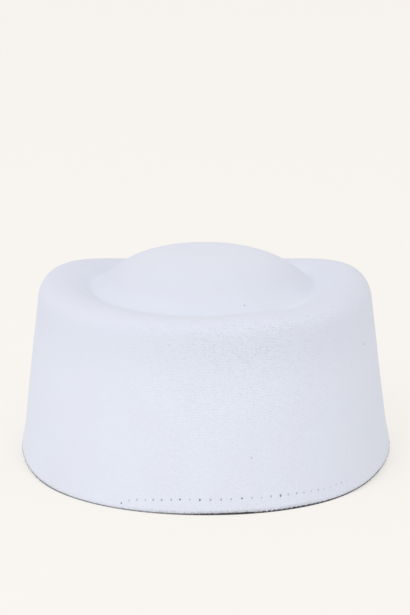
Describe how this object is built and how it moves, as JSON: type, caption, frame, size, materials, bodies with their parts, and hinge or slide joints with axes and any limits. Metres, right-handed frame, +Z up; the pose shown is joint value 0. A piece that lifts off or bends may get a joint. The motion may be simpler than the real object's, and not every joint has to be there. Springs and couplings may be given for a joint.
{
  "type": "felt hat",
  "caption": "Low brimless oval felt hat with a soft shoulder, a shallow groove round a low dome, a dark sweatband and an open head hollow.",
  "frame": {"origin": "centre of the hat's footprint, on the surface that it stands on", "axes": "+Z up, the front of the hat towards -Y, +X towards the right of the picture"},
  "size_m": [0.172, 0.2046, 0.095],
  "materials": {
    "felt": "smooth cool white wool felt, matt, with a fine punched grain",
    "band": "dark charcoal cloth, matt"
  },
  "bodies": {
    "root": {"felt_body": "felt", "sweatband": "band"}
  },
  "joints": []
}
